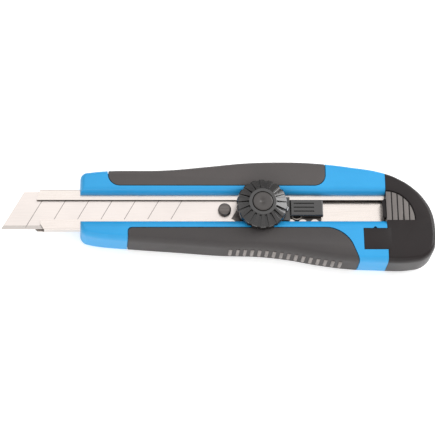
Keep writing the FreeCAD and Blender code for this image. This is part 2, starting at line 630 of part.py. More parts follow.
def dial_knob():
    profile = [(0, Z_DIAL), (DIAL_R - DIAL_FOOT, Z_DIAL), (DIAL_R, Z_DIAL + DIAL_FOOT),
               (DIAL_R - RIM_LEAN, Z_RIM_TOP - RIM_BEVEL), (DIAL_R - RIM_LEAN - RIM_BEVEL, Z_RIM_TOP),
               (HUB_RING_R + RING_BEVEL, Z_RING_TOP - RING_BEVEL_DROP), (HUB_RING_R, Z_RING_TOP), (0, Z_RING_TOP)]
    half_section = closed_face([V(X_DIAL + r, CHANNEL_Y, z) for r, z in profile])
    knob = half_section.revolve(V(X_DIAL, CHANNEL_Y, 0), V(0, 0, 1), 360)
    tools = [
        disc(X_DIAL, CHANNEL_Y, HUB_R + FIT, Z_HUB_CAP, Z_RING_TOP + OVER),
        disc(X_DIAL, CHANNEL_Y, STUD_R + STUD_CLEARANCE, Z_DIAL - OVER, Z_RING_TOP),
    ]
    tools.append(plate(nut_corners(NUT_R + FIT), Z_DIAL - OVER, Z_DIAL + NUT_HEIGHT + FIT))
    notch = disc(X_DIAL + DIAL_R + LOBE_NOTCH_R / 2, CHANNEL_Y, LOBE_NOTCH_R, Z_DIAL - OVER, Z_RING_TOP + OVER)
    for i in range(DIAL_LOBES):
        turned = notch.copy()
        turned.rotate(V(X_DIAL, CHANNEL_Y, 0), V(0, 0, 1), 360 / DIAL_LOBES * i)
        tools.append(turned)
    return knob.cut(tools)


def dial_hub_cap():
    top = Z_HUB_CAP + HUB_CAP_THICK
    cap = disc(X_DIAL, CHANNEL_Y, HUB_R, Z_HUB_CAP, top)
    cap = cap.makeFillet(HUB_EDGE_R, [e for e in cap.Edges if e.BoundBox.ZMin > top - TOUCH])
    return cap.cut(Part.makeSphere(DIMPLE_BALL_R, V(X_DIAL, CHANNEL_Y, top + DIMPLE_BALL_ABOVE)))


# ---- rear cap and blade magazine ----
def rib_panel():
    """Grooves of the pull ribs, bounded by a quarter ellipse that follows the cap's shoulder."""
    z0 = HANDLE_THICK - RIB_GROOVE
    tools = []
    for i in range(1, RIB_COUNT):
        reach = i * PANEL_LENGTH / RIB_COUNT
        height = PANEL_HEIGHT * math.sqrt(1 - (reach / PANEL_LENGTH) ** 2)
        tools.append(block(X_JOINT + reach - RIB_GROOVE / 2, X_JOINT + reach + RIB_GROOVE / 2, Y_PANEL,
                           Y_PANEL + height, z0, HANDLE_THICK + OVER))
    return tools


def rear_cap(outer):
    rear_half = block(X_JOINT + TONGUE_GAP, X_END + OVER, -FAR, FAR, -OVER, HANDLE_THICK + OVER)
    shell = outer.common(rear_half)
    hollow = core(WALL).common(block(X_JOINT - OVER, X_JOINT + TRAY_IN_CAP, -FAR, FAR, 0, Z_LIP_FRONT))
    tongue = outer.common(tongue_space(0))
    reach = block(X_JOINT - SPIGOT_LENGTH, X_JOINT + WALL, CHANNEL_Y - SLOT_HALF + SPIGOT_GAP,
                  CHANNEL_Y + SLOT_HALF - SPIGOT_GAP, Z_PLATE + SPIGOT_GAP, Z_LIP_FRONT + WALL)
    root = block(X_JOINT + TONGUE_GAP, X_JOINT + WALL, CHANNEL_Y - CHANNEL_HALF, CHANNEL_Y + CHANNEL_HALF,
                 Z_DRAWER_TOP, HANDLE_THICK - WALL)
    return shell.cut([hollow] + rib_panel()).fuse([tongue, root, reach]).removeSplitter()


def magazine_tray():
    half = TRAY_HALF
    x_rear = X_JOINT + TRAY_IN_CAP
    z0 = Z_DRAWER + RUNNING_GAP
    z1 = Z_DRAWER_TOP - TRAY_TOP_GAP
    tail = block(X_JOINT, x_rear, CHANNEL_Y - half, CHANNEL_Y + half, z0, z1).common(core(WALL))
    tray = block(X_TRAY, X_JOINT, CHANNEL_Y - half, CHANNEL_Y + half, z0, z1).fuse(tail).removeSplitter()
    inside = block(X_TRAY + TRAY_WALL, X_JOINT, CHANNEL_Y - TRAY_INSIDE_HALF, CHANNEL_Y + TRAY_INSIDE_HALF,
                   z0 + TRAY_WALL, z1 + OVER)
    finger = disc(X_JOINT - CAP_LENGTH, CHANNEL_Y, FINGER_R, z0 - OVER, z0 + TRAY_WALL + OVER)
    return tray.cut([inside, finger])


def spare_blade(i):
    x = X_TRAY + TRAY_WALL + TRAY_BLADE_PLAY
    z = Z_DRAWER + RUNNING_GAP + TRAY_WALL + SPARE_GAP + i * (BLADE_THICK + SPARE_GAP)
    return blade_at(x, CHANNEL_Y, z)


def blade_clip():
    """A bowed steel leaf that keeps the spare blades from rattling."""
    z = Z_DRAWER + RUNNING_GAP + TRAY_WALL + 2 * SPARE_GAP + SPARE_BLADES * (BLADE_THICK + SPARE_GAP)
    middle = (X_TRAY + X_JOINT) / 2
    half = BLADE_TIP_TO_HOLE / 4
    y = CHANNEL_Y - CLIP_HALF
    arc = Part.Arc(V(middle - half, y, z + CLIP_RISE), V(middle, y, z), V(middle + half, y, z + CLIP_RISE)).toShape()
    face = arc.extrude(V(0, 0, CLIP_THICK))
    return face.extrude(V(0, 2 * CLIP_HALF, 0))


def build():
    os.makedirs("parts", exist_ok=True)
    outer, body, upper, lower = handle_parts()
    save("handle_body", body)
    save("upper_grip", upper)
    save("lower_grip", lower)
    save("blade_channel", blade_channel())
    save("blade", blade_at(X_TIP, CHANNEL_Y, Z_BLADE))
    save("blade_carrier", blade_carrier())
    save("slider_block", slider_block())
    save("slider_rivet", slider_rivet())
    save("detent_spring", detent_spring())
    save("thrust_washer", thrust_washer())
    save("clamp_stud", clamp_stud())
    save("dial_knob", dial_knob())
    save("dial_nut", dial_nut())
    save("dial_hub_cap", dial_hub_cap())
    save("rear_cap", rear_cap(outer))
    save("magazine_tray", magazine_tray())
    save("blade_clip", blade_clip())
    for i in range(SPARE_BLADES):
        save(f"spare_blade_{i + 1}", spare_blade(i))


build()
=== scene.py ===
import math

import bmesh
import bpy
from mathutils import Matrix, Vector


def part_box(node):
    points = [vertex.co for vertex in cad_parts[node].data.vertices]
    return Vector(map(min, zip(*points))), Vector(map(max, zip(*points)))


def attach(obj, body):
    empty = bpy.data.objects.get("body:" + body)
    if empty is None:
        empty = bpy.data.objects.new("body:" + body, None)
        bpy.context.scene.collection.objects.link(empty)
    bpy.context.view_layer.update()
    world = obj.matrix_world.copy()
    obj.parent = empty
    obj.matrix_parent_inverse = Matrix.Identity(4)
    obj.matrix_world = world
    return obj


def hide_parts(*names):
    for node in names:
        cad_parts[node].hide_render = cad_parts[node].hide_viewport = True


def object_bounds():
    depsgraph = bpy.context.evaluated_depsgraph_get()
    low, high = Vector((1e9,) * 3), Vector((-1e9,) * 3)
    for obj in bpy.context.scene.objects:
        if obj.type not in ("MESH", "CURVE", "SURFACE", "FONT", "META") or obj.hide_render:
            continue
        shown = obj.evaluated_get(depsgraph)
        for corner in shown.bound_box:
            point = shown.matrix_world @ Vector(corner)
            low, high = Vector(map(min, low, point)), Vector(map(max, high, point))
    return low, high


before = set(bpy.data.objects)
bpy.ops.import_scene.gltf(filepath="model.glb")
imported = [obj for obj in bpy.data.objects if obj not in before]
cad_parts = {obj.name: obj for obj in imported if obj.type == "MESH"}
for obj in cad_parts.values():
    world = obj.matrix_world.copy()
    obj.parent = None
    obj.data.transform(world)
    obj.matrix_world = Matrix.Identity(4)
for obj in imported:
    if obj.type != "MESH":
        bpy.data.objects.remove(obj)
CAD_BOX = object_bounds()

# Snap-off utility knife with a dial lock, lying on its back. X runs from the blade's tip to the rear
# cap, the cutting edge faces -Y and the dial is on top. Sizes below are in millimetres.
MM = 0.001

# ---- places read from the frame ----


def box_mm(node):
    low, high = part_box(node)
    return Vector(low) / MM, Vector(high) / MM


shell_low, shell_high = box_mm("handle_body")
cap_low, cap_high = box_mm("rear_cap")
dial_low, dial_high = box_mm("dial_knob")
hub_low, hub_high = box_mm("dial_hub_cap")
channel_low, channel_high = box_mm("blade_channel")

X_NOSE = shell_low.x
X_JOINT = shell_high.x
X_END = cap_high.x
HANDLE_LENGTH = X_JOINT - X_NOSE
THICK = shell_high.z
MID_Z = THICK / 2
CHANNEL_Y = (channel_low.y + channel_high.y) / 2
Y_TOP = box_mm("upper_grip")[1].y
Y_BOTTOM = cap_low.y
DIAL_X = (hub_low.x + hub_high.x) / 2
DIAL_Y = (hub_low.y + hub_high.y) / 2
LIP_FRONT = channel_high.z
CHANNEL_BACK = channel_low.z
CHANNEL_HALF = (channel_high.y - channel_low.y) / 2
ROOM_ABOVE = Y_TOP - CHANNEL_Y - CHANNEL_HALF
ROOM_BELOW = CHANNEL_Y - CHANNEL_HALF - Y_BOTTOM
tray_low, tray_high = box_mm("magazine_tray")

# ---- form of the handle ----
# the outline's knots: share of the handle's length, share of the room between channel and edge
TOP_LINE = [(0.08, 0.352), (0.28, 0.313), (0.42, 0.172), (0.54, 0.039), (0.65, 0.0), (0.76, 0.031),
            (0.88, 0.172)]
BOTTOM_LINE = [(0.05, 0.724), (0.16, 0.632), (0.32, 0.528), (0.46, 0.436), (0.59, 0.399), (0.68, 0.307),
               (0.78, 0.147), (0.88, 0.034), (0.96, 0.0)]
NOSE_TOP_DROP = 0.437
NOSE_BOTTOM_RISE = 0.816
NOSE_TOP_R = 3.0
NOSE_BOTTOM_R = 3.0
RIM_DEEP = 4.0              # the rim's rounding, down its side and in from its edge
RIM_IN = 2.4
RIM_STEPS = 8
JOINT_DROP = 0.414
CAP_SHOULDER = 12.9
CAP_END_DROP = 0.655
CAP_HEEL_R = 11.0
CURVE_STEPS = 12
ARC = 0.5523                # handle length of a quarter circle drawn as one curve, as a share of its radius

CAP_STEPS = 5
HEEL_ANGLES = (0, -30, -60, -90)
SIDE_VERTS = 8              # a side face has no more corners than this

UPPER_GRIP = {"front": 12.6, "rear": 27.4, "corner": 5.5}
LOWER_GRIP = {"front": 21.4, "rear": 19.0, "lap": 0.2, "slant": 6.2, "front_corner": 2.0, "rear_corner": 9.0}
WINDOW_ROOT = 2.0           # the window's tool starts this far behind the lips
WINDOW_BELOW = 6.2
WINDOW_ABOVE = 7.1
BAND_HALF = 10.1
BAND_RISE = 3.7
BAND_STEPS = 6
BAND_FLARE = 1.4
GRIP_THICK = 1.6
GROOVE = 0.35               # open groove between the shell and a grip
EDGE_SOFT = 0.3             # rounding of moulded edges

CHANNEL_FIT = 0.06
DRAWER_PLAY = 1.0
DRAWER_BACK = 2.2
DRAWER_DEPTH = 6.0
DRAWER_HALF = 10.6
TONGUE_LENGTH = 10.9
TONGUE_BELOW_BAND = 0.5
TONGUE_FROM_EDGE = 5.5
TONGUE_THICK = 2.4
TONGUE_GAP = 0.15
CATCH_R = 0.8
CATCH_SIDES = 24
RIDGE_COUNT = 16
RIDGE_PITCH = 3.36
RIDGE_FROM_JOINT = 21.5
RIDGE_R = 0.9
RIDGE_SINK = 0.3
RIDGE_MARGIN = 5.0
RIDGE_SIDES = 20
RIDGE_SOFT_ANGLE = 50
HIGHLIGHT_CLEAR = 0.1            # the painted highlight on the ridges starts this far out from the underside
GRIP_SOFT = 0.35
RIB_COUNT = 5
RIB_GROOVE = 0.6
PANEL_HEIGHT = 14.3
PANEL_BELOW = 6.6
PANEL_SUNK = 0.25
PANEL_NEAR = 0.05
SHOULDER_STEPS = 24
PANEL_LENGTH = 13.3
TONGUE_TOP = CHANNEL_Y - BAND_HALF - TONGUE_BELOW_BAND
TONGUE_LOW = Y_BOTTOM + TONGUE_FROM_EDGE
PANEL_BOTTOM = CHANNEL_Y - PANEL_BELOW
TRAY_IN_CAP = 9.0
CAP_PLAY = 0.4
CAP_ROOT = 1.6              # tongue and spigot reach this far into the cap
SPIGOT_LENGTH = 1.4
SPIGOT_HALF = 4.45
SPIGOT_CORNER = 0.8
SPIGOT_Z = 11.05
SPIGOT_ABOVE_LIP = 2.0
SHEET = 0.6
SLOT_EDGE = 6.5
SCORE_DEPTH = 0.12
PIN_R = 2.9
PIN_SIDES = 64
DIAL_FROM_PIN = 16.7

# ---- form of the dial ----
DIAL_R = 11.8
DIAL_RIM = 4.2
HUB_RING_R = 6.2
HUB_R = 4.5
DIAL_LOBES = 18
FLUTE_START = 6.4           # grooves start this far from the dial's axis
FLUTE_HALF = 1.0
FLUTE_TAPER = 0.5
FLUTE_DEPTH = 2.2           # groove's floor at the rim, below the rim's top edge
FLUTE_RISE = 0.2            # groove's floor at its inner end, above the rim's top edge
NOTCH_R = 1.2
NOTCH_OUT = 0.6
NOTCH_SIDES = 32
BORE_R = 2.2
BORE_SIDES = 32
DIAL_SIDES = 180
DIAL_SOFT = 0.2
DIAL_SOFT_ANGLE = 25
HUB_SIDES = 96
HUB_SEAT_PLAY = 0.35
HUB_SEAT_DEEP = 1.6

# ---- modelling tolerances ----
BEYOND = 3.0                # tools run this far past what they cut
NEAR = 0.01                 # two places this close are the same
WELD = 0.001
SLIVER = 0.0005
CORNER_STEPS = 10
SMOOTH_ANGLE = 30
TURNED_ANGLE = 35
FLAT_ANGLE = 1
FACING = 0.9                # part of a unit normal along the axis that a face looks along
LEVEL = 0.999
UPRIGHT = 0.5
ALIGNED = 0.02
SCORE_LEAN = 0.1

# ---- material scales ----
CLOUD = 14                  # size of the melt's cloudy shifts of tone
FILM = 20                   # size of the stains on steel
PIT_TO_GRAIN = 1.4
ROUGH_SPREAD = 0.06
LINE_SPREAD = 0.08

# ---- stage ----
FLOOR_SIZE = 3.0
FLOOR_GAP = 0.05            # keeps the floor clear of the faces that rest on it
FLOOR_CUTS = 4
FLOOR_GLOW = 0.4
# brightness of the studio by height: bright overhead and darker at the walls
SKY_LEVELS = [(0.0, 0.34), (0.18, 0.40), (0.6, 0.95), (1.0, 1.0)]
# name, place and size in metres, and power of each softbox
LIGHTS = [("key", (0.0, 0.24, 0.65), (1.3, 0.5), 1.1),
          ("side", (0.6, 0.25, 0.3), (0.5, 0.4), 3.0),
          ("fill", (-0.1, -0.6, 0.28), (0.9, 0.3), 1.6)]
SENSOR = 36
DISTANCE = 1.0
VIEW_WIDTH = 0.200
VIEW_OFFSET = (-0.7, -1.8, 0)
BACK = Vector((-0.07, -0.33, 0.94)).normalized()    # from the knife towards the camera


# ---- modelling helpers ----
def activate(piece):
    bpy.ops.object.select_all(action="DESELECT")
    piece.select_set(True)
    bpy.context.view_layer.objects.active = piece


def edit(piece):
    activate(piece)
    bpy.ops.object.mode_set(mode="EDIT")
    bpy.ops.mesh.select_all(action="DESELECT")


def done():
    bpy.ops.object.mode_set(mode="OBJECT")


def pick(piece, kind, test):
    """Selects the vertices, edges or faces that pass the test. Each is tested by its middle, in mm."""
    bpy.ops.mesh.select_mode(type=kind)
    mesh = bmesh.from_edit_mesh(piece.data)
    bpy.ops.mesh.select_all(action="DESELECT")
    for part in {"VERT": mesh.verts, "EDGE": mesh.edges, "FACE": mesh.faces}[kind]:
        if kind == "VERT":
            middle = part.co / MM
        elif kind == "EDGE":
            middle = (part.verts[0].co + part.verts[1].co) / 2 / MM
        else:
            middle = part.calc_center_median() / MM
        part.select_set(test(middle, part))
    mesh.select_flush_mode()
    bmesh.update_edit_mesh(piece.data)


def name_piece(name):
    piece = bpy.context.object
    piece.name = name
    piece.data.name = name
    return piece


def settle(piece):
    """Puts the piece's place and size into its mesh."""
    activate(piece)
    bpy.ops.object.transform_apply(location=True, rotation=True, scale=True)
    return piece


def apply_modifiers(piece):
    activate(piece)
    for modifier in list(piece.modifiers):
        bpy.ops.object.modifier_apply(modifier=modifier.name)


def copy_piece(piece, name):
    twin = piece.copy()
    twin.data = piece.data.copy()
    twin.name = name
    bpy.context.collection.objects.link(twin)
    return twin


def combine(piece, tool, operation, keep=False):
    modifier = piece.modifiers.new("combine", "BOOLEAN")
    modifier.operation = operation
    modifier.solver = "EXACT"
    modifier.object = tool
    apply_modifiers(piece)
    if not keep:
        bpy.data.objects.remove(tool, do_unlink=True)
    return piece


def cut(piece, *tools):
    for tool in tools:
        combine(piece, tool, "DIFFERENCE")
    return piece


def shade(piece, angle):
    activate(piece)
    bpy.ops.object.shade_smooth_by_angle(angle=math.radians(angle))


def soften(piece, width, angle=SMOOTH_ANGLE, steps=2):
    """Rounds the sharp edges, as a mould does, and shades the piece smooth."""
    activate(piece)
    modifier = piece.modifiers.new("soften", "BEVEL")
    modifier.width = width * MM
    modifier.segments = steps
    modifier.limit_method = "ANGLE"
    modifier.angle_limit = math.radians(angle)
    modifier.use_clamp_overlap = True
    apply_modifiers(piece)
    shade(piece, angle)
    return piece


def brick(name, low, high):
    """A block from its lowest to its highest corner."""
    low, high = Vector(low), Vector(high)
    bpy.ops.mesh.primitive_cube_add(size=1, location=(low + high) / 2 * MM)
    bpy.context.object.scale = (high - low) * MM
    return settle(name_piece(name))


def rod(name, centre, radius, z0, z1, sides=64):
    bpy.ops.mesh.primitive_cylinder_add(vertices=sides, radius=radius * MM, depth=(z1 - z0) * MM,
                                        location=Vector((centre[0], centre[1], (z0 + z1) / 2)) * MM)
    return settle(name_piece(name))


def closed_curve(name, knots, z):
    """A flat face bounded by a smooth closed curve. A knot is a point, or a point and its two handles."""
    curve = bpy.data.curves.new(name, "CURVE")
    curve.dimensions = "2D"
    curve.fill_mode = "NONE"
    curve.resolution_u = CURVE_STEPS
    spline = curve.splines.new("BEZIER")
    spline.bezier_points.add(len(knots) - 1)
    spline.use_cyclic_u = True
    for knot, at in zip(spline.bezier_points, knots):
        if len(at) == 2:
            knot.co = Vector((at[0], at[1], 0)) * MM
            knot.handle_left_type = knot.handle_right_type = "AUTO"
        else:
            knot.co, knot.handle_left, knot.handle_right = [Vector((p[0], p[1], 0)) * MM for p in at]
            knot.handle_left_type = knot.handle_right_type = "FREE"
    piece = bpy.data.objects.new(name, curve)
    bpy.context.collection.objects.link(piece)
    activate(piece)
    bpy.ops.object.convert(target="MESH")
    piece = bpy.context.object
    piece.location.z = z * MM
    settle(piece)
    edit(piece)
    bpy.ops.mesh.select_all(action="SELECT")
    bpy.ops.mesh.remove_doubles(threshold=WELD * MM)
    bpy.ops.mesh.edge_face_add()
    done()
    return piece


def raise_face(piece, height):
    """Extrudes the one face of a flat piece straight up by height."""
    edit(piece)
    bpy.ops.mesh.select_all(action="SELECT")
    bpy.ops.mesh.extrude_region_move(TRANSFORM_OT_translate={"value": (0, 0, height * MM)})
    bpy.ops.mesh.select_all(action="SELECT")
    bpy.ops.mesh.normals_make_consistent(inside=False)
    done()
    return piece


def polygon(name, corners, z0, z1, rounds=None):
    """An upright prism. rounds gives the radius of a corner by its number."""
    bpy.ops.mesh.primitive_circle_add(vertices=len(corners), radius=MM, fill_type="NGON",
                                      location=(0, 0, z0 * MM))
    piece = settle(name_piece(name))
    for number, (x, y) in zip(piece.data.polygons[0].vertices, corners):
        vertex = piece.data.vertices[number]
        vertex.co.x = x * MM
        vertex.co.y = y * MM
    for number, radius in (rounds or {}).items():
        x, y = corners[number]
        edit(piece)
        pick(piece, "VERT", lambda m, v: abs(m.x - x) < NEAR and abs(m.y - y) < NEAR)
        bpy.ops.mesh.bevel(offset_type="OFFSET", offset=radius * MM, segments=CORNER_STEPS, profile=0.5,
                           affect="VERTICES", clamp_overlap=False)
        done()
    return raise_face(piece, z1 - z0)


# ---- materials ----
def linear(code):
    """An sRGB hex value as linear red, green, blue and alpha."""
    shares = [int(code[i:i + 2], 16) / 255 for i in (1, 3, 5)]
    return [s / 12.92 if s <= 0.04045 else ((s + 0.055) / 1.055) ** 2.4 for s in shares] + [1.0]


def add(tree, kind, settings=None, links=None):
    """Adds a node. Settings are its own properties or its inputs' values, and links feed its inputs."""
    made = tree.nodes.new(kind)
    for name, value in (settings or {}).items():
        if isinstance(name, int) or name in made.inputs:
            made.inputs[name].default_value = value
        else:
            setattr(made, name, value)
    for name, source in (links or {}).items():
        tree.links.new(source, made.inputs[name])
    return made


def ramp(tree, fac, stops):
    made = add(tree, "ShaderNodeValToRGB", links={"Fac": fac})
    elements = made.color_ramp.elements
    while len(elements) < len(stops):
        elements.new(0.5)
    for element, (place, colour) in zip(elements, stops):
        element.position = place
        element.color = colour
    return made


def grey(level):
    return (level, level, level, 1.0)


def new_material(name):
    made = bpy.data.materials.new(name)
    made.use_nodes = True
    tree = made.node_tree
    tree.nodes.clear()
    output = add(tree, "ShaderNodeOutputMaterial")
    shader = add(tree, "ShaderNodeBsdfPrincipled")
    tree.links.new(shader.outputs[0], output.inputs["Surface"])
    place = add(tree, "ShaderNodeTexCoord").outputs["Object"]
    return made, tree, shader, place


def moulded(name, colour, deep, rough, grain_mm, depth_mm, ior=1.53, shine=0.5):
    """Moulded plastic or rubber. The tool's spark-eroded texture leaves a fine grain, the melt leaves
    faint cloudy shifts of tone, and handling leaves slightly shinier patches."""
    made, tree, shader, place = new_material(name)
    grain = add(tree, "ShaderNodeTexNoise", {"Scale": 1 / (grain_mm * MM), "Detail": 3.0, "Roughness": 0.6},
                {"Vector": place})
    pits = add(tree, "ShaderNodeTexVoronoi", {"Scale": 1 / (grain_mm * PIT_TO_GRAIN * MM)}, {"Vector": place})
    cloud = add(tree, "ShaderNodeTexNoise", {"Scale": 1 / (CLOUD * MM), "Detail": 4.0, "Roughness": 0.55},
                {"Vector": place})
    tone = ramp(tree, cloud.outputs["Fac"], [(0.3, linear(deep)), (0.7, linear(colour))])
    speck = add(tree, "ShaderNodeMix", {"data_type": "RGBA", "blend_type": "MULTIPLY", "Factor": 0.12},
                {6: tone.outputs[0], 7: grain.outputs["Color"]})
    wear = add(tree, "ShaderNodeMapRange", {"From Min": 0.3, "From Max": 0.7, "To Min": rough - ROUGH_SPREAD,
                                            "To Max": rough + ROUGH_SPREAD}, {"Value": cloud.outputs["Fac"]})
    fine = add(tree, "ShaderNodeMath", {"operation": "MULTIPLY_ADD", 1: 0.5},
               {0: pits.outputs["Distance"], 2: grain.outputs["Fac"]})
    bump = add(tree, "ShaderNodeBump", {"Strength": 1.0, "Distance": depth_mm * MM},
               {"Height": fine.outputs[0]})
    tree.links.new(speck.outputs[2], shader.inputs["Base Color"])
    tree.links.new(wear.outputs[0], shader.inputs["Roughness"])
    tree.links.new(bump.outputs[0], shader.inputs["Normal"])
    shader.inputs["IOR"].default_value = ior
    shader.inputs["Specular IOR Level"].default_value = shine
    return made


def worked_steel(name, colour, deep, rough, line_mm, depth_mm, stretch=(60, 1, 1), spots=0.0):
    """Rolled or ground steel. Fine parallel lines from the belt or wheel run along one direction and vary
    in brightness, and a faint stain or oil film shifts the tone over a few centimetres."""
    made, tree, shader, place = new_material(name)
    drawn = add(tree, "ShaderNodeMapping", {"Scale": (1 / stretch[0], 1 / stretch[1], 1 / stretch[2])},
                {"Vector": place})
    lines = add(tree, "ShaderNodeTexNoise", {"Scale": 1 / (line_mm * MM), "Detail": 4.0, "Roughness": 0.7},
                {"Vector": drawn.outputs[0]})
    film = add(tree, "ShaderNodeTexNoise", {"Scale": 1 / (FILM * MM), "Detail": 3.0}, {"Vector": place})
    tone = ramp(tree, lines.outputs["Fac"], [(0.25, linear(deep)), (0.65, linear(colour))])
    stain = ramp(tree, film.outputs["Fac"], [(0.35, grey(1.0 - spots)), (0.6, grey(1.0))])
    mixed = add(tree, "ShaderNodeMix", {"data_type": "RGBA", "blend_type": "MULTIPLY", "Factor": 1.0},
                {6: tone.outputs[0], 7: stain.outputs[0]})
    wear = add(tree, "ShaderNodeMapRange", {"From Min": 0.25, "From Max": 0.75, "To Min": rough - LINE_SPREAD,
                                            "To Max": rough + LINE_SPREAD}, {"Value": lines.outputs["Fac"]})
    bump = add(tree, "ShaderNodeBump", {"Strength": 1.0, "Distance": depth_mm * MM},
               {"Height": lines.outputs["Fac"]})
    tree.links.new(mixed.outputs[2], shader.inputs["Base Color"])
    tree.links.new(wear.outputs[0], shader.inputs["Roughness"])
    tree.links.new(bump.outputs[0], shader.inputs["Normal"])
    shader.inputs["Metallic"].default_value = 1.0
    return made


# ABS for the shell: light blue, satin from a lightly textured tool
abs_blue = moulded("abs_light_blue", "#289CD7", "#2297D2", 0.42, 0.45, 0.012, shine=0.35)
# TPR overmoulded on the shell: matt dark grey, grippy grain
tpr_grey = moulded("tpr_dark_grey", "#504B4A", "#494544", 0.66, 0.55, 0.05, ior=1.45)
# The finger side is the same rubber, made darker as painted shade, since the lower grip lies in shade
tpr_painted_shade = moulded("tpr_dark_grey_painted_shade", "#3F3B3A", "#393535", 0.6, 0.55, 0.05, ior=1.45)
# The ridges' crowns are painted paler: a painted highlight of the light from below
tpr_ridge_painted_highlight = moulded("tpr_ridge_painted_highlight", "#928B87", "#6E6865", 0.5, 0.4, 0.03, ior=1.45)
# ABS for the end cap: near black, satin
abs_dark = moulded("abs_dark_grey", "#201919", "#1B1515", 0.36, 0.5, 0.02, shine=0.25)
# Rib faces keep the coarse spark-eroded texture of the tool, and their paler colour is a painted highlight
# where the panel catches the light
abs_rib_painted_highlight = moulded("abs_textured_painted_highlight", "#726C69", "#68625F", 0.6, 0.4, 0.05)
# Glass-filled nylon for dial and slider: near black with a shiny skin, so edges catch light
nylon_black = moulded("nylon_black", "#1C1817", "#161312", 0.22, 0.4, 0.008, shine=0.8)
# The hub disc is the same nylon with a finer skin, painted lighter as a painted sheen
nylon_hub_painted_sheen = moulded("nylon_fine_painted_sheen", "#423D3B", "#3B3735", 0.32, 0.5, 0.006)
# Polypropylene for the spare-blade drawer: waxy black
pp_black = moulded("polypropylene_black", "#2A2827", "#242221", 0.48, 0.8, 0.01, ior=1.49)
# Cold-rolled stainless strip for the channel: bright, lines along the rolling direction
stainless_rolled = worked_steel("stainless_rolled", "#DAD1CB", "#C6BEB8", 0.26, 0.25, 0.001)
# Hardened carbon blade strip: finer, slightly greyer, lines along the strip
blade_steel = worked_steel("carbon_steel_ground", "#DBD2CD", "#CFC7C2", 0.34, 0.18, 0.001, spots=0.04)
# The ground cutting edge: lines across the strip, a little greyer than the flanks
steel_edge = worked_steel("steel_ground_edge", "#C4BDB8", "#AEA7A3", 0.3, 0.08, 0.001, stretch=(1, 30, 1))
# Score grooves and cut sheet edges: dull steel, darkened as painted shade, the shade in the grooves and a
# dark reflection along the cut edges
steel_score_painted_shade = worked_steel("steel_score_painted_shade", "#8E8784", "#77706D", 0.5, 0.2, 0.004)
steel_cut_painted_shade = worked_steel("steel_cut_painted_shade", "#4A4645", "#363231", 0.5, 0.2, 0.004)
# Steel for the carrier and pin, blackened in a salt bath, with its tone raised paler as a painted highlight
steel_blackened_painted_highlight = worked_steel("steel_blackened_painted_highlight", "#756F6C", "#4A4644", 0.38, 0.3, 0.004, spots=0.1)
# Zinc-plated steel for stud, washer and rivet: bluish silver
steel_zinc = worked_steel("steel_zinc_plated", "#C9CBCD", "#A4A7AA", 0.33, 0.3, 0.003, (4, 4, 1), spots=0.15)
# Tempered spring steel: slightly brown grey
steel_spring = worked_steel("spring_steel_tempered", "#A8A199", "#857E77", 0.32, 0.2, 0.002)
# Turned brass for the dial's threaded insert
brass_turned = worked_steel("brass_turned", "#D8B266", "#B8924A", 0.28, 0.2, 0.003, (1, 1, 30))
# Matt white paper under the knife: even, with barely visible fibre
paper_white = moulded("paper_white", "#FAFAFA", "#F8F8F8", 0.8, 1.2, 0.01, ior=1.4)
# The paper is lit from behind, as on a light table, so shadows stay faint
glow = [node for node in paper_white.node_tree.nodes if node.type == "BSDF_PRINCIPLED"][0]
glow.inputs["Emission Color"].default_value = grey(1.0)
glow.inputs["Emission Strength"].default_value = FLOOR_GLOW


def paint(piece, material):
    piece.data.materials.clear()
    piece.data.materials.append(material)


def add_finish(piece, material, test):
    """Gives a second finish to the faces whose middle and normal pass the test."""
    piece.data.materials.append(material)
    number = len(piece.data.materials) - 1
    for face in piece.data.polygons:
        if test(face.center / MM, face.normal):
            face.material_index = number
    return piece


# ---- the outer form of handle and cap ----
def share_points(line, edge, room):
    return [(X_NOSE + along * HANDLE_LENGTH, edge - share * room) for along, share in line]


def corner(before, tip, after, radius):
    """Two knots that round the corner at tip."""
    tip, before, after = Vector(tip), Vector(before), Vector(after)
    into = (before - tip).normalized()
    out = (after - tip).normalized()
    first = tip + into * radius
    last = tip + out * radius
    return [(first, first + (before - first) / 3, tip + into * radius * (1 - ARC)),
            (last, tip + out * radius * (1 - ARC), last + (after - last) / 3)]


def outline_knots():
    top = share_points(TOP_LINE, Y_TOP, ROOM_ABOVE)
    bottom = share_points(BOTTOM_LINE, Y_BOTTOM, -ROOM_BELOW)
    nose_top = (X_NOSE, Y_TOP - NOSE_TOP_DROP * ROOM_ABOVE)
    nose_bottom = (X_NOSE, Y_BOTTOM + NOSE_BOTTOM_RISE * ROOM_BELOW)
    length = X_END - X_JOINT + CAP_SHOULDER
    end_y = Y_TOP - CAP_END_DROP * (Y_TOP - Y_BOTTOM)
    height = (Y_TOP - JOINT_DROP * ROOM_ABOVE - end_y) / math.sqrt(1 - (CAP_SHOULDER / length) ** 2)
    first = math.acos(CAP_SHOULDER / length)
    cap = []
    for step in range(CAP_STEPS + 1):
        angle = first * (1 - step / CAP_STEPS)
        cap.append((X_END - length * (1 - math.cos(angle)), end_y + height * math.sin(angle)))
    middle = (X_END - CAP_HEEL_R, Y_BOTTOM + CAP_HEEL_R)
    heel = []
    for degrees in HEEL_ANGLES:
        angle = math.radians(degrees)
        heel.append((middle[0] + CAP_HEEL_R * math.cos(angle), middle[1] + CAP_HEEL_R * math.sin(angle)))
    return (corner(nose_bottom, nose_top, top[0], NOSE_TOP_R) + top + cap + heel + bottom[::-1]
            + corner(bottom[0], nose_bottom, nose_top, NOSE_BOTTOM_R))


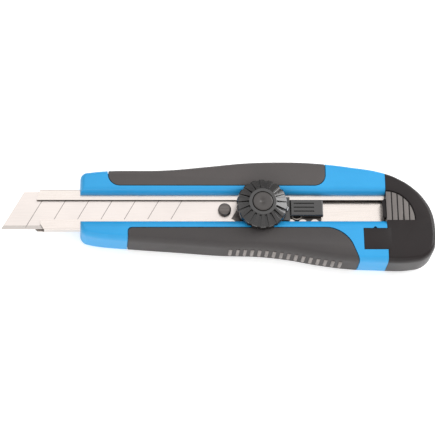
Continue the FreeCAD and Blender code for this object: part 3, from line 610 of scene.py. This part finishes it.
def outer_form(name):
    """The rounded solid that handle, grips and cap are all cut from: an outline raised to the front, with
    its rim rounded by insets, and mirrored to the back."""
    piece = closed_curve(name, outline_knots(), 0)
    raise_half = MID_Z - RIM_DEEP
    edit(piece)
    bpy.ops.mesh.select_all(action="SELECT")
    bpy.ops.mesh.extrude_region_move(TRANSFORM_OT_translate={"value": (0, 0, raise_half * MM)})
    for step in range(RIM_STEPS):
        a = math.radians(90 * step / RIM_STEPS)
        b = math.radians(90 * (step + 1) / RIM_STEPS)
        pick(piece, "FACE", lambda m, f: len(f.verts) > SIDE_VERTS and m.z > NEAR)
        bpy.ops.mesh.inset(thickness=RIM_IN * (math.cos(a) - math.cos(b)) * MM,
                           depth=RIM_DEEP * (math.sin(b) - math.sin(a)) * MM, use_even_offset=True)
    pick(piece, "FACE", lambda m, f: len(f.verts) > SIDE_VERTS and m.z < NEAR)
    bpy.ops.mesh.delete(type="ONLY_FACE")
    done()
    mirror = piece.modifiers.new("mirror", "MIRROR")
    mirror.use_axis = (False, False, True)
    mirror.merge_threshold = WELD * MM
    apply_modifiers(piece)
    piece.location.z = MID_Z * MM
    settle(piece)
    edit(piece)
    bpy.ops.mesh.select_all(action="SELECT")
    bpy.ops.mesh.normals_make_consistent(inside=False)
    done()
    return piece


def window_tool():
    """Straight sides at the slot, then bands that climb and round over to the front of the handle."""
    low, high = CHANNEL_Y - WINDOW_BELOW, CHANNEL_Y + WINDOW_ABOVE
    tool = brick("window_tool", (X_NOSE - BEYOND, low, LIP_FRONT - WINDOW_ROOT),
                 (X_JOINT + BEYOND, high, THICK - BAND_RISE))
    edit(tool)
    for step in range(BAND_STEPS):
        a, b = step / BAND_STEPS, (step + 1) / BAND_STEPS
        rise = BAND_RISE * (math.sin(math.radians(90 * b)) - math.sin(math.radians(90 * a)))
        pick(tool, "FACE", lambda m, f: f.normal.z > FACING)
        bpy.ops.mesh.extrude_region_move(TRANSFORM_OT_translate={"value": (0, 0, rise * MM)})
        new_low = CHANNEL_Y - WINDOW_BELOW - (BAND_HALF - WINDOW_BELOW) * b ** 2
        new_high = CHANNEL_Y + WINDOW_ABOVE + (BAND_HALF - WINDOW_ABOVE) * b ** 2
        wider = (new_high - new_low) / (high - low)
        bpy.ops.transform.resize(value=(1, wider, 1), center_override=(0, low * MM, 0))
        bpy.ops.transform.translate(value=(0, (new_low - low) * MM, 0))
        low, high = new_low, new_high
    pick(tool, "FACE", lambda m, f: f.normal.z > FACING)
    bpy.ops.mesh.extrude_region_move(TRANSFORM_OT_translate={"value": (0, 0, BEYOND * MM)})
    bpy.ops.transform.resize(value=(1, BAND_FLARE, 1), center_override=(0, CHANNEL_Y * MM, 0))
    bpy.ops.mesh.select_all(action="SELECT")
    bpy.ops.mesh.normals_make_consistent(inside=False)
    done()
    return tool


def upper_region(name, shrink):
    x0 = X_NOSE + UPPER_GRIP["front"] + shrink
    x1 = X_JOINT - UPPER_GRIP["rear"] - shrink
    y0 = CHANNEL_Y + BAND_HALF + shrink
    high = Y_TOP + BEYOND
    radius = UPPER_GRIP["corner"] - shrink
    return polygon(name, [(x0, y0), (x1, y0), (x1, high), (x0, high)], -BEYOND, THICK + BEYOND,
                   {0: radius, 1: radius})


def lower_region(name, shrink):
    x0 = X_NOSE + LOWER_GRIP["front"] + shrink
    x1 = X_JOINT - LOWER_GRIP["rear"] - shrink
    y1 = CHANNEL_Y - BAND_HALF + LOWER_GRIP["lap"] - shrink
    low = Y_BOTTOM - BEYOND
    slant = LOWER_GRIP["slant"] * (y1 - low) / (y1 - Y_BOTTOM)
    return polygon(name, [(x0, low), (x1 + slant, low), (x1, y1), (x0, y1)], -BEYOND, THICK + BEYOND,
                   {2: LOWER_GRIP["rear_corner"], 3: LOWER_GRIP["front_corner"]})


def inner_core(name, inset):
    """The straight-sided block inside the grips."""
    core = closed_curve(name, outline_knots(), inset)
    edit(core)
    bpy.ops.mesh.select_all(action="SELECT")
    bpy.ops.mesh.inset(thickness=inset * MM, depth=0, use_even_offset=True)
    pick(core, "FACE", lambda m, f: len(f.verts) <= SIDE_VERTS)
    bpy.ops.mesh.delete(type="FACE")
    done()
    return raise_face(core, THICK - 2 * inset)


def cut_region(name, region):
    """The part of the rounded form that lies inside a region."""
    return combine(copy_piece(blank, name), region, "INTERSECT")


blank = outer_form("blank")
bpy.context.view_layer.update()


def underside(x):
    hit, place, normal, face = blank.ray_cast(Vector((x, Y_BOTTOM - BEYOND, MID_Z)) * MM, (0, 1, 0))
    return place.y / MM


# ---- handle shell ----
shell = cut_region("shell", brick("keep", (X_NOSE - BEYOND, 2 * Y_BOTTOM, -BEYOND),
                                  (X_JOINT, 2 * Y_TOP, THICK + BEYOND)))
core = inner_core("core", GRIP_THICK)
upper_pocket = combine(upper_region("upper_pocket", 0), core, "DIFFERENCE", keep=True)
lower_pocket = combine(lower_region("lower_pocket", 0), core, "DIFFERENCE", keep=True)
cut(shell, upper_pocket, lower_pocket, window_tool())
cut(shell,
    brick("tunnel", (X_NOSE - BEYOND, CHANNEL_Y - CHANNEL_HALF - CHANNEL_FIT, CHANNEL_BACK - CHANNEL_FIT),
          (X_JOINT + BEYOND, CHANNEL_Y + CHANNEL_HALF + CHANNEL_FIT, LIP_FRONT + CHANNEL_FIT)),
    brick("drawer_space", (tray_low.x - DRAWER_PLAY, CHANNEL_Y - DRAWER_HALF, DRAWER_BACK),
          (X_JOINT + BEYOND, CHANNEL_Y + DRAWER_HALF, DRAWER_BACK + DRAWER_DEPTH)),
    brick("tongue_space", (X_JOINT - TONGUE_LENGTH - TONGUE_GAP, TONGUE_LOW - TONGUE_GAP,
                           THICK - TONGUE_THICK - TONGUE_GAP),
          (X_JOINT + BEYOND, TONGUE_TOP + TONGUE_GAP, THICK + BEYOND)),
    rod("catch", (X_JOINT - TONGUE_LENGTH / 2, TONGUE_TOP + TONGUE_GAP), CATCH_R, THICK - TONGUE_THICK,
        THICK + BEYOND, CATCH_SIDES))
soften(shell, EDGE_SOFT)
edit(shell)
bpy.ops.mesh.select_all(action="SELECT")
bpy.ops.mesh.dissolve_degenerate(threshold=SLIVER * MM)
done()
shade(shell, SMOOTH_ANGLE)
paint(shell, abs_blue)
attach(shell, "handle")
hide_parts("handle_body")

# ---- soft grips ----
spine_grip = cut_region("spine_grip", upper_region("spine", GROOVE))
combine(spine_grip, core, "DIFFERENCE", keep=True)
finger_grip = cut_region("finger_grip", lower_region("finger", GROOVE))
combine(finger_grip, core, "DIFFERENCE", keep=True)
bars = []
for number in range(RIDGE_COUNT):
    x = X_JOINT - RIDGE_FROM_JOINT - number * RIDGE_PITCH
    ridge = rod(f"ridge_{number}", (x, underside(x) + RIDGE_SINK), RIDGE_R, RIDGE_MARGIN,
                THICK - RIDGE_MARGIN, RIDGE_SIDES)
    bars.append(soften(ridge, RIDGE_R / 2, RIDGE_SOFT_ANGLE))
bpy.ops.object.select_all(action="DESELECT")
for ridge in bars:
    ridge.select_set(True)
bpy.context.view_layer.objects.active = bars[0]
bpy.ops.object.join()
bpy.data.objects.remove(core, do_unlink=True)
combine(finger_grip, bars[0], "UNION")
# the lower grip gets the darker copy of the rubber: painted shade
for grip, node, rubber in ((spine_grip, "upper_grip", tpr_grey), (finger_grip, "lower_grip", tpr_painted_shade)):
    soften(grip, GRIP_SOFT)
    paint(grip, rubber)
    if node == "lower_grip":
        first = X_JOINT - RIDGE_FROM_JOINT
        # the ridge faces below the underside get a painted highlight
        add_finish(grip, tpr_ridge_painted_highlight, lambda m, n: m.x > first - RIDGE_COUNT * RIDGE_PITCH
                   and m.x < first + RIDGE_R + HIGHLIGHT_CLEAR and m.y < underside(m.x) - HIGHLIGHT_CLEAR)
    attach(grip, "handle")
    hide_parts(node)

# ---- rear cap ----
end_cap = cut_region("end_cap", brick("keep_cap", (X_JOINT + TONGUE_GAP, 2 * Y_BOTTOM, -BEYOND),
                                      (X_END + BEYOND, 2 * Y_TOP, THICK + BEYOND)))


def shoulder_band(name, out_by, in_by, z0, z1):
    """A strip along the cap's shoulder, a quarter of an ellipse, or all that is inside it."""
    outer, inner = [], []
    for step in range(SHOULDER_STEPS + 1):
        a = math.radians(90 * step / SHOULDER_STEPS)
        outer.append((X_JOINT + (PANEL_LENGTH + out_by) * math.sin(a),
                      PANEL_BOTTOM + (PANEL_HEIGHT + out_by) * math.cos(a)))
        inner.append((X_JOINT + (PANEL_LENGTH - in_by) * math.sin(a),
                      PANEL_BOTTOM + (PANEL_HEIGHT - in_by) * math.cos(a)))
    outer[0] = (X_JOINT - BEYOND, outer[0][1])
    inner[0] = (X_JOINT - BEYOND, inner[0][1])
    if in_by == PANEL_LENGTH:
        inner = [(X_JOINT - BEYOND, PANEL_BOTTOM)]
    return polygon(name, (outer + inner[::-1])[::-1], z0, z1)


def rib_height(x):
    share = min(1.0, (x - X_JOINT) / PANEL_LENGTH)
    return PANEL_HEIGHT * math.sqrt(1 - share ** 2)


cut(end_cap, shoulder_band("rib_panel", 0, PANEL_LENGTH, THICK - PANEL_SUNK, THICK + BEYOND),
    shoulder_band("shoulder_groove", RIB_GROOVE / 2, RIB_GROOVE / 2, THICK - RIB_GROOVE - PANEL_SUNK,
                  THICK + BEYOND))
for number in range(1, RIB_COUNT):
    x = X_JOINT + number * PANEL_LENGTH / RIB_COUNT
    cut(end_cap, brick("rib_groove", (x - RIB_GROOVE / 2, PANEL_BOTTOM, THICK - RIB_GROOVE - PANEL_SUNK),
                       (x + RIB_GROOVE / 2, PANEL_BOTTOM + rib_height(x), THICK + BEYOND)))
cut(end_cap,
    brick("hollow", (X_JOINT - BEYOND, tray_low.y - CAP_PLAY, DRAWER_BACK),
          (X_JOINT + TRAY_IN_CAP, tray_high.y + CAP_PLAY, DRAWER_BACK + DRAWER_DEPTH)))
tongue = brick("tongue", (X_JOINT - TONGUE_LENGTH, TONGUE_LOW, THICK - TONGUE_THICK),
               (X_JOINT + CAP_ROOT, TONGUE_TOP, THICK))
spigot = brick("spigot", (X_JOINT - SPIGOT_LENGTH, CHANNEL_Y - SPIGOT_HALF, SPIGOT_Z),
               (X_JOINT + CAP_ROOT, CHANNEL_Y + SPIGOT_HALF, LIP_FRONT + SPIGOT_ABOVE_LIP))
edit(spigot)
pick(spigot, "EDGE", lambda m, e: m.x < X_JOINT - SPIGOT_LENGTH + NEAR
     and abs(m.y - CHANNEL_Y) > SPIGOT_HALF - NEAR)
bpy.ops.mesh.bevel(offset=SPIGOT_CORNER * MM, segments=1, affect="EDGES")
done()
combine(end_cap, tongue, "UNION")
combine(end_cap, spigot, "UNION")
soften(end_cap, EDGE_SOFT / 2)
paint(end_cap, abs_dark)
# the rib panel's top faces get a painted highlight
add_finish(end_cap, abs_rib_painted_highlight, lambda m, n: n.z > FACING
           and abs(m.z - THICK + PANEL_SUNK) < PANEL_NEAR)
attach(end_cap, "cap")
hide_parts("rear_cap")
bpy.data.objects.remove(blank, do_unlink=True)

# ---- dial ----
Z_DIAL = dial_low.z
Z_RIM = Z_DIAL + DIAL_RIM
Z_RING = dial_high.z
AXIS = Vector((DIAL_X, DIAL_Y, 0))


def turned(name, profile, sides, x, y):
    """A turned form. Rings of the given radius and height are extruded one from another."""
    bpy.ops.mesh.primitive_circle_add(vertices=sides, radius=profile[0][0] * MM, fill_type="NGON",
                                      location=(x * MM, y * MM, profile[0][1] * MM))
    piece = settle(name_piece(name))
    edit(piece)
    bpy.ops.mesh.select_all(action="SELECT")
    for (r0, z0), (r1, z1) in zip(profile, profile[1:]):
        bpy.ops.mesh.extrude_region_move(TRANSFORM_OT_translate={"value": (0, 0, (z1 - z0) * MM)})
        bpy.ops.transform.resize(value=(r1 / r0, r1 / r0, 1), center_override=(x * MM, y * MM, 0))
    bpy.ops.mesh.select_all(action="SELECT")
    bpy.ops.mesh.normals_make_consistent(inside=False)
    done()
    return piece


knob = turned("fluted_dial", [(DIAL_R - 0.9, Z_DIAL), (DIAL_R - 0.2, Z_DIAL + 0.3), (DIAL_R, Z_DIAL + 1.0),
                              (DIAL_R - 0.15, Z_RIM - 0.9), (DIAL_R - 0.5, Z_RIM - 0.3),
                              (DIAL_R - 1.1, Z_RIM), (HUB_RING_R + 1.4, Z_RING - 0.9),
                              (HUB_RING_R + 0.6, Z_RING - 0.35), (HUB_RING_R, Z_RING)],
              DIAL_SIDES, DIAL_X, DIAL_Y)
flutes = []
for number in range(DIAL_LOBES):
    angle = 360 / DIAL_LOBES * number
    # a groove widens and deepens from the ring to the rim
    flute = brick(f"flute_{number}", (FLUTE_START, -FLUTE_HALF, Z_RIM - FLUTE_DEPTH),
                  (DIAL_R + BEYOND, FLUTE_HALF, Z_RING + BEYOND))
    edit(flute)
    pick(flute, "VERT", lambda m, v: m.x < FLUTE_START + NEAR)
    bpy.ops.transform.resize(value=(1, FLUTE_TAPER, 1), center_override=(0, 0, 0))
    pick(flute, "VERT", lambda m, v: m.x < FLUTE_START + NEAR and m.z < Z_RIM)
    bpy.ops.transform.translate(value=(0, 0, (FLUTE_RISE + FLUTE_DEPTH) * MM))
    bpy.ops.mesh.select_all(action="SELECT")
    bpy.ops.transform.rotate(value=-math.radians(angle), orient_axis="Z", center_override=(0, 0, 0))
    bpy.ops.transform.translate(value=AXIS * MM)
    done()
    turn = math.radians(angle)
    notch = rod(f"notch_{number}", (DIAL_X + (DIAL_R + NOTCH_OUT) * math.cos(turn),
                                    DIAL_Y + (DIAL_R + NOTCH_OUT) * math.sin(turn)), NOTCH_R,
                Z_DIAL - BEYOND, Z_RING + BEYOND, NOTCH_SIDES)
    flutes += [flute, notch]
cut(knob, *flutes)
cut(knob, rod("hub_seat", (DIAL_X, DIAL_Y), HUB_R + HUB_SEAT_PLAY, Z_RING - HUB_SEAT_DEEP, Z_RING + BEYOND),
    rod("stud_bore", (DIAL_X, DIAL_Y), BORE_R, Z_DIAL - BEYOND, Z_RING, BORE_SIDES))
soften(knob, DIAL_SOFT, DIAL_SOFT_ANGLE)
paint(knob, nylon_black)
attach(knob, "lock_dial")
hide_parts("dial_knob")

hub_top = hub_high.z
hub = turned("hub_disc", [(HUB_R - 0.15, hub_low.z), (HUB_R, hub_low.z + 0.2), (HUB_R, hub_top - 0.45),
                          (HUB_R - 0.12, hub_top - 0.2), (HUB_R - 0.4, hub_top - 0.05),
                          (HUB_R - 0.8, hub_top), (1.5, hub_top), (0.9, hub_top - 0.35),
                          (0.3, hub_top - 0.5)], HUB_SIDES, DIAL_X, DIAL_Y)
# the hub disc's lighter tone is a painted sheen
paint(hub, nylon_hub_painted_sheen)
shade(hub, TURNED_ANGLE)
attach(hub, "lock_dial")
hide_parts("dial_hub_cap")

# ---- steel parts, refined from the frame's own solids ----
def refined(node, name):
    """A copy of a frame part with its triangles joined into flat faces."""
    piece = copy_piece(bpy.data.objects[node], name)
    edit(piece)
    bpy.ops.mesh.select_all(action="SELECT")
    bpy.ops.mesh.remove_doubles(threshold=WELD * MM)
    bpy.ops.mesh.dissolve_limited(angle_limit=math.radians(FLAT_ANGLE))
    done()
    return piece


def in_slot(place):
    return abs(place.y - CHANNEL_Y) < SLOT_EDGE and place.z > LIP_FRONT - SHEET


sleeve = refined("blade_channel", "folded_channel")
paint(sleeve, stainless_rolled)
# the sheet's cut edges in the slot and at the front get painted shade: a dark reflection and the shade under
# the lips
add_finish(sleeve, steel_cut_painted_shade, lambda m, n: abs(n.z) < UPRIGHT and (in_slot(m) or n.x < -UPRIGHT))
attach(sleeve, "handle")
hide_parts("blade_channel")

blade_top = box_mm("blade")[1].z
for node, name, body in (("blade", "snap_blade", "slider"), ("spare_blade_1", "spare_snap_blade_1", "cap"),
                         ("spare_blade_2", "spare_snap_blade_2", "cap"),
                         ("spare_blade_3", "spare_snap_blade_3", "cap")):
    top = box_mm(node)[1].z
    strip = refined(node, name)
    paint(strip, blade_steel)
    add_finish(strip, steel_edge, lambda m, n: abs(n.x) < ALIGNED and ALIGNED < abs(n.y) < FACING)
    # the score grooves' faces get painted shade
    add_finish(strip, steel_score_painted_shade, lambda m, n: top - SCORE_DEPTH - NEAR < m.z < top - NEAR
               and (abs(n.x) > SCORE_LEAN or n.z > LEVEL))
    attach(strip, body)
    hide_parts(node)

# the pin's end is turned, with a ring cut in its face
pin_top = box_mm("blade_carrier")[1].z
PIN_X = DIAL_X - DIAL_FROM_PIN
pin_face = turned("pin_face", [(PIN_R + 0.02, blade_top + 0.3), (PIN_R + 0.03, pin_top - 0.5),
                               (PIN_R - 0.12, pin_top - 0.15), (PIN_R - 0.45, pin_top + 0.03),
                               (1.75, pin_top + 0.04), (1.65, pin_top - 0.3), (1.2, pin_top - 0.32),
                               (1.1, pin_top), (0.3, pin_top + 0.03)], PIN_SIDES, PIN_X, CHANNEL_Y)
shade(pin_face, TURNED_ANGLE)
# the pin's paler tone is a painted highlight
paint(pin_face, steel_blackened_painted_highlight)
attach(pin_face, "slider")

# ---- carried-over parts of the frame ----
FINISHES = {
    "slider_block": nylon_black, "slider_rivet": steel_zinc, "thrust_washer": steel_zinc,
    "clamp_stud": steel_zinc, "detent_spring": steel_spring, "blade_clip": steel_spring,
    # the carrier's paler tone is a painted highlight
    "blade_carrier": steel_blackened_painted_highlight, "dial_nut": brass_turned, "magazine_tray": pp_black,
}
for node, material in FINISHES.items():
    paint(bpy.data.objects[node], material)

# ---- floor, light and camera ----
bpy.ops.mesh.primitive_plane_add(size=FLOOR_SIZE, location=(0, 0, -FLOOR_GAP * MM))
floor = name_piece("floor")
settle(floor)
edit(floor)
bpy.ops.mesh.select_all(action="SELECT")
bpy.ops.mesh.subdivide(number_cuts=FLOOR_CUTS)
done()
paint(floor, paper_white)

world = bpy.data.worlds.new("studio")
bpy.context.scene.world = world
world.use_nodes = True
sky = world.node_tree
heading = add(sky, "ShaderNodeTexCoord").outputs["Generated"]
rise = add(sky, "ShaderNodeSeparateXYZ", links={"Vector": heading}).outputs["Z"]
tint = ramp(sky, rise, [(height, grey(level)) for height, level in SKY_LEVELS])
sky.links.new(tint.outputs[0], sky.nodes["Background"].inputs["Color"])
sky.nodes["Background"].inputs["Strength"].default_value = 1.0


def softbox(name, place, size, power):
    light = bpy.data.lights.new(name, "AREA")
    light.shape = "RECTANGLE"
    light.size, light.size_y = size
    light.energy = power
    lamp = bpy.data.objects.new(name, light)
    bpy.context.collection.objects.link(lamp)
    lamp.location = place
    lamp.rotation_euler = (-Vector(place)).to_track_quat("-Z", "Y").to_euler()


for softbox_settings in LIGHTS:
    softbox(*softbox_settings)

centre = sum((Vector(corner) for corner in CAD_BOX), Vector()) / 2 + Vector(VIEW_OFFSET) * MM
camera_data = bpy.data.cameras.new("camera")
camera = bpy.data.objects.new("camera", camera_data)
bpy.context.collection.objects.link(camera)
camera_data.sensor_width = SENSOR
camera_data.lens = SENSOR * DISTANCE / VIEW_WIDTH
camera.location = centre + BACK * DISTANCE
right = Vector((1, 0, 0))
right = (right - BACK * right.dot(BACK)).normalized()
up = BACK.cross(right)
turn = Matrix((right, up, BACK)).transposed()
camera.rotation_euler = turn.to_euler()
bpy.context.scene.camera = camera
bpy.context.scene.view_settings.view_transform = "Standard"
